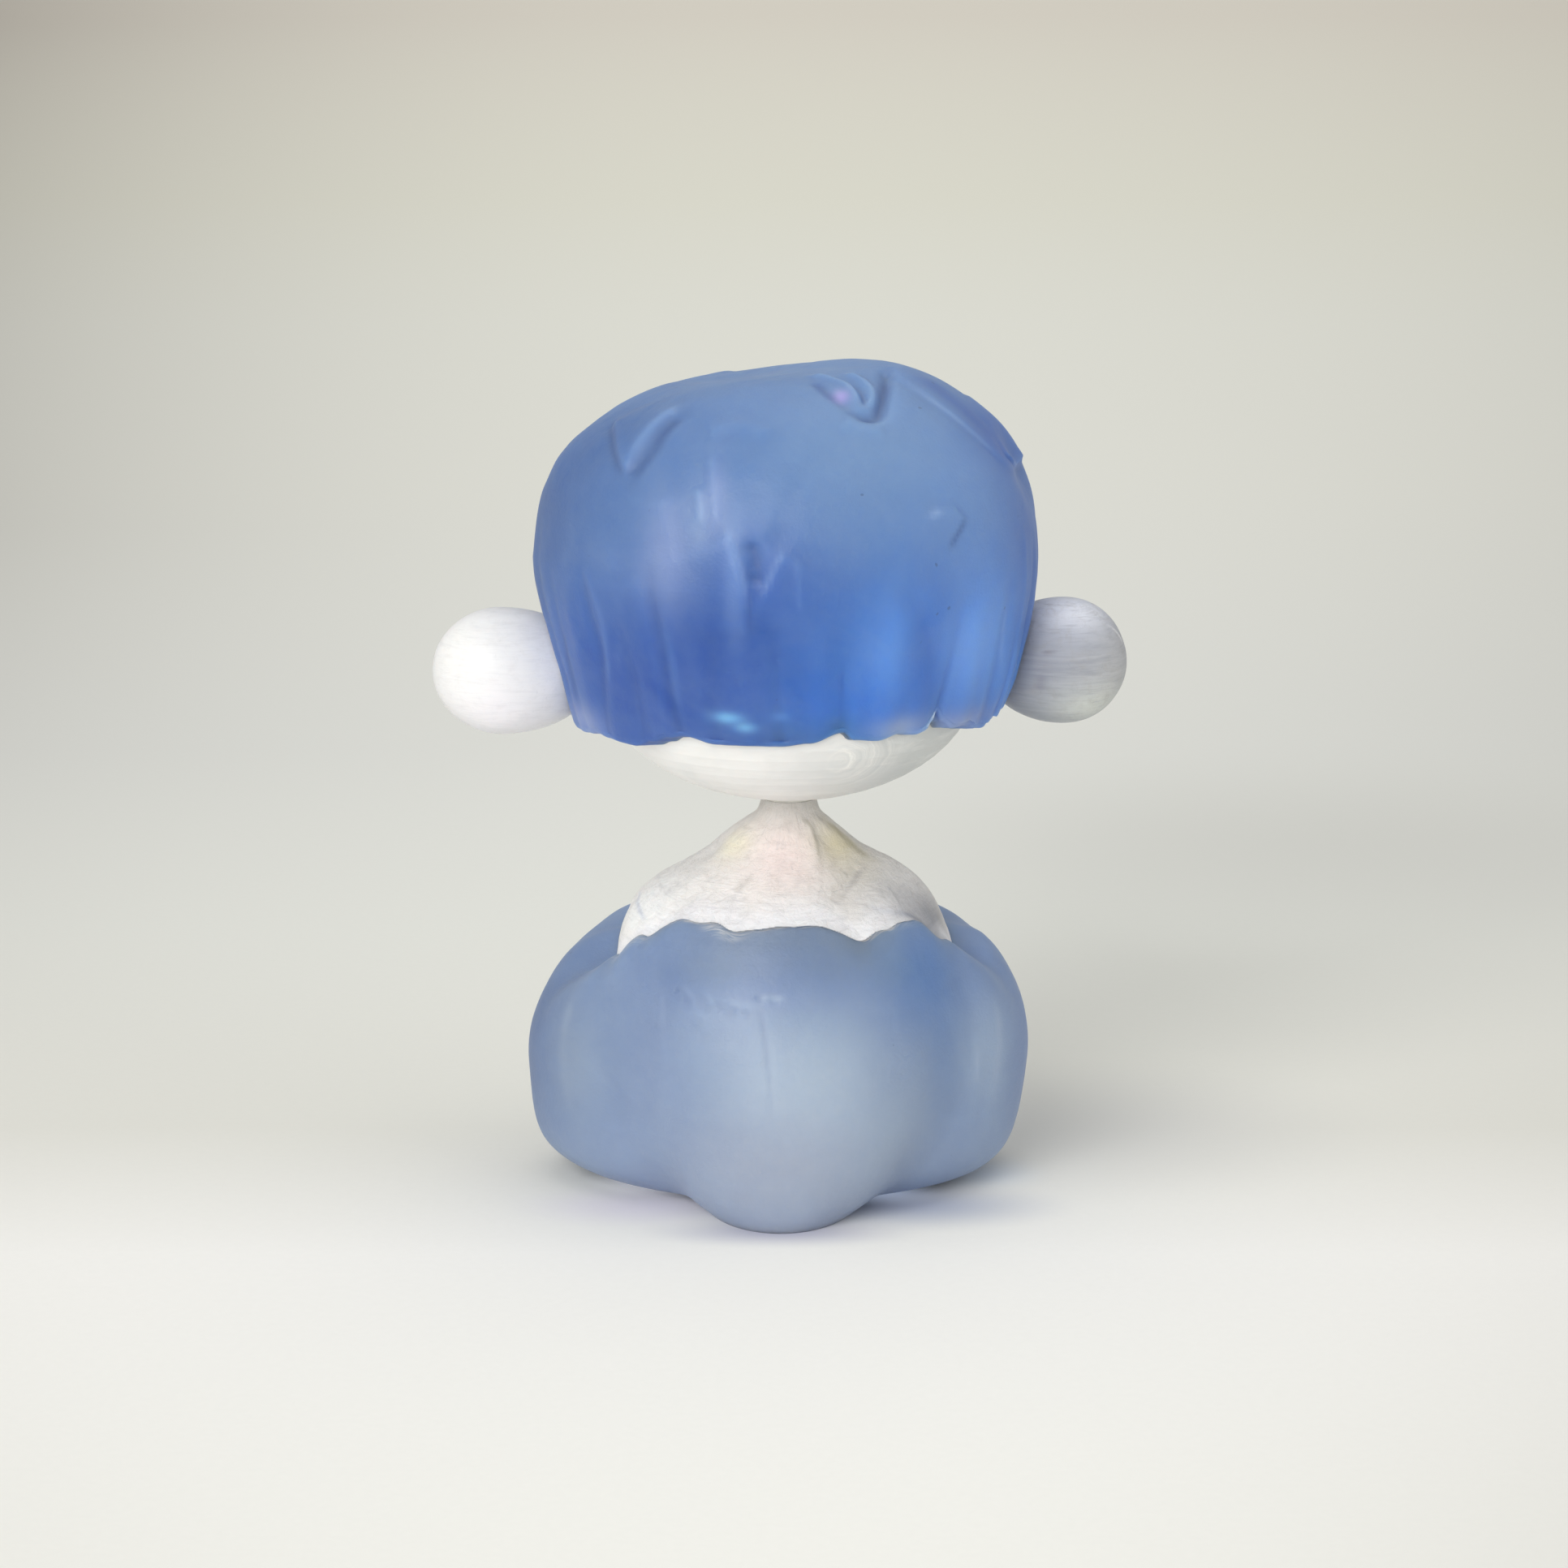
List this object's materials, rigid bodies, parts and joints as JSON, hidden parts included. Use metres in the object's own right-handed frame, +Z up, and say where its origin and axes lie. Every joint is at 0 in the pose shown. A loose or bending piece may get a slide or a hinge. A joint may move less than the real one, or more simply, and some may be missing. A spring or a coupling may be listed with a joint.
{
  "type": "art toy figurine",
  "caption": "Bust figurine with a smooth head under a frosted bowl-cut hair cap, turning ball ears, a swivel neck and a rounded cast body.",
  "frame": {"origin": "the neck's axis where it meets the plane that the figure stands on", "axes": "+Z up along the neck, -Y to the figure's front, +X to the right as a viewer in front sees it"},
  "size_m": [0.0832, 0.0556, 0.0992],
  "materials": {
    "frosted_body": "cast, translucent grey-blue with a frosted, satin skin",
    "frosted_hair": "cast, translucent deep blue with a frosted, satin skin",
    "chalk_paint": "hand-brushed white paint, satin, with fine brush strokes",
    "pearl_paint": "thin, hand-brushed white paint over the blue casting, satin",
    "felt_pad": "pressed felt",
    "steel": "turned, bright",
    "brass": "turned, satin",
    "nylon": "natural, moulded"
  },
  "bodies": {
    "torso": {"body_shell": "frosted_body", "bust": "chalk_paint", "base_pad": "felt_pad", "neck_spindle": "steel", "spindle_washer": "steel", "thrust_washer": "nylon", "wave_washer": "steel", "lock_nut": "steel"},
    "head": {"head_lower": "chalk_paint", "head_upper": "chalk_paint", "swivel_bush": "brass", "hair_cap": "frosted_hair", "hair_dowels": "brass", "ear_bush_left": "nylon", "ear_bush_right": "nylon"},
    "left_ear": {"ear_left": "chalk_paint", "ear_pin_left": "steel", "ear_clip_left": "steel"},
    "right_ear": {"ear_right": "pearl_paint", "ear_pin_right": "steel", "ear_clip_right": "steel"}
  },
  "joints": [
    {"name": "head_turn", "type": "hinge", "parent": "torso", "child": "head", "pos_m": [0, 0, 0.0478], "axis": [0, 0, 1], "continuous": true},
    {"name": "left_ear_turn", "type": "hinge", "parent": "head", "child": "left_ear", "pos_m": [-0.03, 0.0035, 0.0622], "axis": [-1, 0, 0], "continuous": true},
    {"name": "right_ear_turn", "type": "hinge", "parent": "head", "child": "right_ear", "pos_m": [0.03, 0.0035, 0.0635], "axis": [1, 0, 0], "continuous": true}
  ]
}
